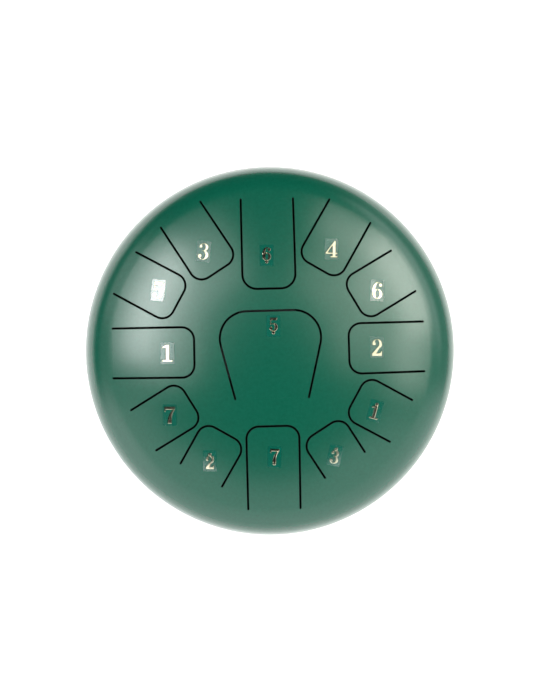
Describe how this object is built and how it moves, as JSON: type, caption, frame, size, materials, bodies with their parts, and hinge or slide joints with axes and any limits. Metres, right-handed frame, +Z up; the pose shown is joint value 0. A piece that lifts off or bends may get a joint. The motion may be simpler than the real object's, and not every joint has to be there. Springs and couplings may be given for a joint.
{
  "type": "steel tongue drum",
  "caption": "Round steel tongue drum: two pressed shells welded at the rim, U-cut tongues with numbered stickers, a sound hole underneath and rubber feet.",
  "frame": {"origin": "on the floor under the drum's axis, at the middle of the box's bottom", "axes": "+Z up along the drum's axis, +Y towards the longest tongue of the ring, +X towards the tongue marked 2"},
  "size_m": [0.305, 0.305, 0.1654],
  "materials": {
    "shell_paint": "satin baked green paint with a fine metallic grain",
    "tongue_paint": "satin baked green paint with a fine metallic grain",
    "foot_rubber": "matt black rubber",
    "foot_adhesive": "foam adhesive pad",
    "sticker_film": "clear glossy film",
    "sticker_metal": "polished gold coloured metal, bevelled edges"
  },
  "bodies": {
    "shell": {"upper_shell": "shell_paint", "lower_shell": "shell_paint", "equator_weld": "shell_paint", "foot_1": "foot_rubber", "foot_2": "foot_rubber", "foot_3": "foot_rubber", "foot_pad_1": "foot_adhesive", "foot_pad_2": "foot_adhesive", "foot_pad_3": "foot_adhesive"},
    "tongue_5_low": {"tongue_5_low": "tongue_paint", "film_5_low": "sticker_film", "digit_5_low": "sticker_metal"},
    "tongue_6_low": {"tongue_6_low": "tongue_paint", "film_6_low": "sticker_film", "digit_6_low": "sticker_metal"},
    "tongue_7_low": {"tongue_7_low": "tongue_paint", "film_7_low": "sticker_film", "digit_7_low": "sticker_metal"},
    "tongue_1": {"tongue_1": "tongue_paint", "film_1": "sticker_film", "digit_1": "sticker_metal"},
    "tongue_2": {"tongue_2": "tongue_paint", "film_2": "sticker_film", "digit_2": "sticker_metal"},
    "tongue_3": {"tongue_3": "tongue_paint", "film_3": "sticker_film", "digit_3": "sticker_metal"},
    "tongue_4": {"tongue_4": "tongue_paint", "film_4": "sticker_film", "digit_4": "sticker_metal"},
    "tongue_5": {"tongue_5": "tongue_paint", "film_5": "sticker_film", "digit_5": "sticker_metal"},
    "tongue_6": {"tongue_6": "tongue_paint", "film_6": "sticker_film", "digit_6": "sticker_metal"},
    "tongue_7": {"tongue_7": "tongue_paint", "film_7": "sticker_film", "digit_7": "sticker_metal"},
    "tongue_1_high": {"tongue_1_high": "tongue_paint", "film_1_high": "sticker_film", "digit_1_high": "sticker_metal"},
    "tongue_2_high": {"tongue_2_high": "tongue_paint", "film_2_high": "sticker_film", "digit_2_high": "sticker_metal"},
    "tongue_3_high": {"tongue_3_high": "tongue_paint", "film_3_high": "sticker_film", "digit_3_high": "sticker_metal"}
  },
  "joints": [
    {"name": "tongue_5_low_flex", "type": "hinge", "parent": "shell", "child": "tongue_5_low", "pos_m": [0, -0.037, 0.16159], "axis": [1, 0, 0], "range_deg": [-0.5, 0.5], "stiffness_Nm_per_rad": 240},
    {"name": "tongue_6_low_flex", "type": "hinge", "parent": "shell", "child": "tongue_6_low", "pos_m": [0.00042, 0.1214, 0.14065], "axis": [-1, 0.0035, 0], "range_deg": [-0.5, 0.5], "stiffness_Nm_per_rad": 160},
    {"name": "tongue_7_low_flex", "type": "hinge", "parent": "shell", "child": "tongue_7_low", "pos_m": [-0.00044, -0.1262, 0.1387], "axis": [1, -0.0035, 0], "range_deg": [-0.5, 0.5], "stiffness_Nm_per_rad": 180},
    {"name": "tongue_1_flex", "type": "hinge", "parent": "shell", "child": "tongue_1", "pos_m": [-0.12579, 0.00154, 0.13889], "axis": [-0.0122, -0.9999, 0], "range_deg": [-0.5, 0.5], "stiffness_Nm_per_rad": 170},
    {"name": "tongue_2_flex", "type": "hinge", "parent": "shell", "child": "tongue_2", "pos_m": [0.1224, 0.00021, 0.14028], "axis": [-0.0017, 1, 0], "range_deg": [-0.5, 0.5], "stiffness_Nm_per_rad": 180},
    {"name": "tongue_3_flex", "type": "hinge", "parent": "shell", "child": "tongue_3", "pos_m": [-0.06887, 0.11108, 0.13663], "axis": [-0.8499, -0.527, 0], "range_deg": [-0.5, 0.5], "stiffness_Nm_per_rad": 190},
    {"name": "tongue_4_flex", "type": "hinge", "parent": "shell", "child": "tongue_4", "pos_m": [0.06667, 0.11009, 0.13766], "axis": [-0.8554, 0.518, 0], "range_deg": [-0.5, 0.5], "stiffness_Nm_per_rad": 200},
    {"name": "tongue_5_flex", "type": "hinge", "parent": "shell", "child": "tongue_5", "pos_m": [-0.11472, 0.0657, 0.13574], "axis": [-0.497, -0.8678, 0], "range_deg": [-0.5, 0.5], "stiffness_Nm_per_rad": 210},
    {"name": "tongue_6_flex", "type": "hinge", "parent": "shell", "child": "tongue_6", "pos_m": [0.10784, 0.06101, 0.13969], "axis": [-0.4924, 0.8704, 0], "range_deg": [-0.5, 0.5], "stiffness_Nm_per_rad": 230},
    {"name": "tongue_7_flex", "type": "hinge", "parent": "shell", "child": "tongue_7", "pos_m": [-0.10298, -0.06042, 0.14148], "axis": [0.506, -0.8625, 0], "range_deg": [-0.5, 0.5], "stiffness_Nm_per_rad": 240},
    {"name": "tongue_1_high_flex", "type": "hinge", "parent": "shell", "child": "tongue_1_high", "pos_m": [0.10257, -0.05874, 0.14195], "axis": [0.497, 0.8678, 0], "range_deg": [-0.5, 0.5], "stiffness_Nm_per_rad": 250},
    {"name": "tongue_2_high_flex", "type": "hinge", "parent": "shell", "child": "tongue_2_high", "pos_m": [-0.05791, -0.09715, 0.14386], "axis": [0.859, -0.512, 0], "range_deg": [-0.5, 0.5], "stiffness_Nm_per_rad": 270},
    {"name": "tongue_3_high_flex", "type": "hinge", "parent": "shell", "child": "tongue_3_high", "pos_m": [0.05659, -0.09234, 0.14558], "axis": [0.8526, 0.5225, 0], "range_deg": [-0.5, 0.5], "stiffness_Nm_per_rad": 310}
  ]
}
